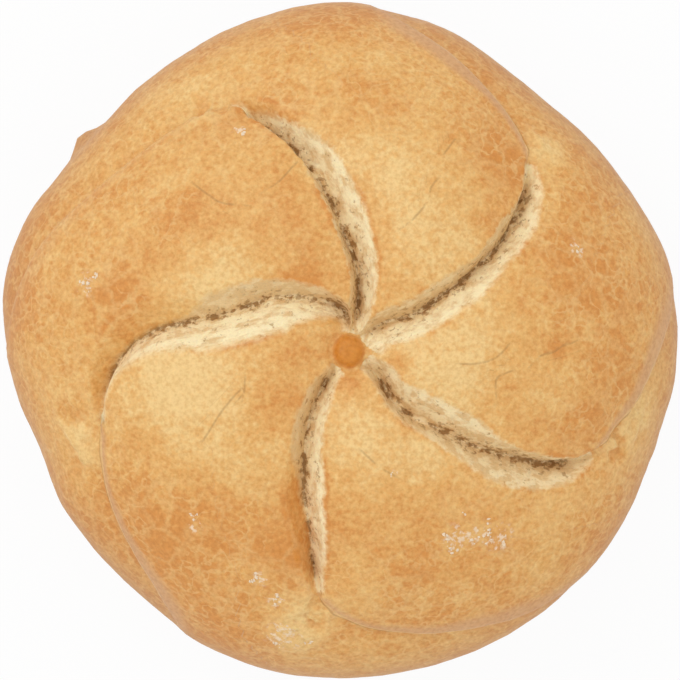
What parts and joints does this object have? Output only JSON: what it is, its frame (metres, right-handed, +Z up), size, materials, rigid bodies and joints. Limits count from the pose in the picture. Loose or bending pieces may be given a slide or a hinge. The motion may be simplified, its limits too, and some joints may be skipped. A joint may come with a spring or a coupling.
{
  "type": "bread roll",
  "caption": "Round crusty wheat roll: a golden dome with curved cuts that wind out from a small hub between swollen petals of dough, resting on a flat base.",
  "frame": {"origin": "middle of the bounding box's bottom face, in the plane of the flat base", "axes": "+Z up, out of the top with its hub; seen from above with +X to the right and +Y up the page, the small knob of dough is on the upper left flank"},
  "size_m": [0.1004, 0.1004, 0.0481],
  "materials": {
    "crust": "matte"
  },
  "bodies": {
    "root": {"bread_roll": "crust"}
  },
  "joints": []
}
